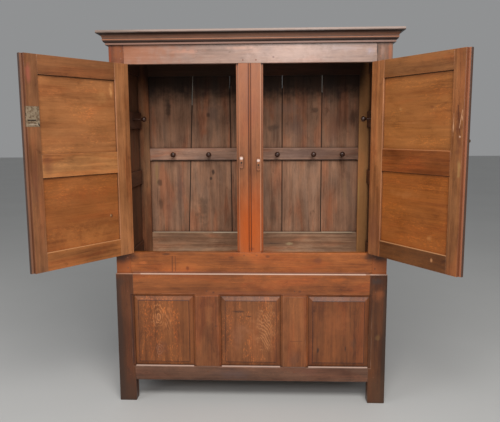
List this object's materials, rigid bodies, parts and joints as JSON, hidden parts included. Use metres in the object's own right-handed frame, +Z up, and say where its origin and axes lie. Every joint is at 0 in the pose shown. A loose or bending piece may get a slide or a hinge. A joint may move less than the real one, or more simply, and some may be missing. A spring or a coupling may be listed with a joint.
{
  "type": "court cupboard",
  "caption": "Oak cupboard with panelled doors standing open, a centre muntin, coat pegs inside and a raised-panel base on square legs",
  "frame": {"origin": "on the floor, on the centre line of the case, halfway between the back of the case and the front edge of the opened doors", "axes": "+X to the right as seen from the front, +Y to the back, +Z up"},
  "size_m": [1.9216, 1.0711, 1.95],
  "materials": {
    "case_oak": "waxed, worn",
    "muntin_oak": "waxed, worn",
    "cornice_oak": "waxed, dusty on top",
    "inner_oak": "dry, unpolished",
    "board_oak": "dry, unpolished",
    "base_oak": "waxed, dark",
    "base_panel_oak": "waxed, flecked",
    "door_oak": "waxed, worn",
    "door_panel_oak": "waxed",
    "pin_oak": "waxed",
    "peg_wood": "polished",
    "button_wood": "polished",
    "old_iron": "aged",
    "aged_brass": "tarnished"
  },
  "bodies": {
    "case": {"oak_pins": "pin_oak", "side_rails_left": "inner_oak", "side_panels_left": "board_oak", "side_rails_right": "inner_oak", "side_panels_right": "board_oak", "case_hinge_leaves": "old_iron", "hinge_pins": "old_iron", "front_post_left": "case_oak", "rear_post_left": "inner_oak", "front_post_right": "case_oak", "rear_post_right": "inner_oak", "frieze_rail": "case_oak", "waist_rail": "case_oak", "centre_muntin": "muntin_oak", "button_screws": "old_iron", "coat_pegs": "peg_wood", "back_bottom_rail": "inner_oak", "peg_rail": "inner_oak", "back_top_rail": "inner_oak", "back_boards": "board_oak", "roof_boards": "board_oak", "cornice_front": "cornice_oak", "cornice_left": "cornice_oak", "cornice_right": "cornice_oak", "base_panel_left": "base_panel_oak", "base_panel_centre": "base_panel_oak", "base_panel_right": "base_panel_oak", "base_muntins": "base_oak", "base_top_rail": "base_oak", "base_bottom_rail": "base_oak", "base_side_panel_left": "base_oak", "base_side_rails_left": "base_oak", "base_side_panel_right": "base_oak", "base_side_rails_right": "base_oak", "base_back_rails": "board_oak", "base_back_boards": "board_oak", "base_leg_front_left": "base_oak", "base_leg_rear_left": "base_oak", "base_leg_front_right": "base_oak", "base_leg_rear_right": "base_oak", "base_floor_boards": "board_oak", "base_floor_cleats": "board_oak"},
    "left_door": {"left_door_panels": "door_panel_oak", "left_door_rails": "door_oak", "left_door_hinge_leaves": "old_iron", "left_door_hinge_stile": "door_oak", "left_door_meeting_stile": "door_oak", "lock_case": "old_iron", "keyhole_escutcheon": "aged_brass"},
    "right_door": {"right_door_panels": "door_panel_oak", "right_door_rails": "door_oak", "right_door_hinge_leaves": "old_iron", "right_door_hinge_stile": "door_oak", "right_door_meeting_stile": "door_oak", "door_knob": "aged_brass"},
    "lock_bolt": {"lock_bolt": "old_iron"},
    "turn_button_left": {"turn_button_left": "button_wood"},
    "turn_button_right": {"turn_button_right": "button_wood"}
  },
  "joints": [
    {"name": "left_door_hinge", "type": "hinge", "parent": "case", "child": "left_door", "pos_m": [-0.63415, -0.0395, 1.306], "axis": [0, 0, 1], "range_deg": [-38.7, 126.3]},
    {"name": "right_door_hinge", "type": "hinge", "parent": "case", "child": "right_door", "pos_m": [0.63415, -0.0395, 1.306], "axis": [0, 0, -1], "range_deg": [-42.6, 122.4]},
    {"name": "lock_bolt_slide", "type": "slide", "parent": "left_door", "child": "lock_bolt", "axis": [-0.592, -0.8059, 0], "range_m": [0, 0.012]},
    {"name": "turn_button_left_pivot", "type": "hinge", "parent": "case", "child": "turn_button_left", "pos_m": [-0.043, -0.034, 1.292], "axis": [0, 1, 0], "range_deg": [-90, 90]},
    {"name": "turn_button_right_pivot", "type": "hinge", "parent": "case", "child": "turn_button_right", "pos_m": [0.044, -0.034, 1.28], "axis": [0, 1, 0], "range_deg": [-90, 90]}
  ]
}
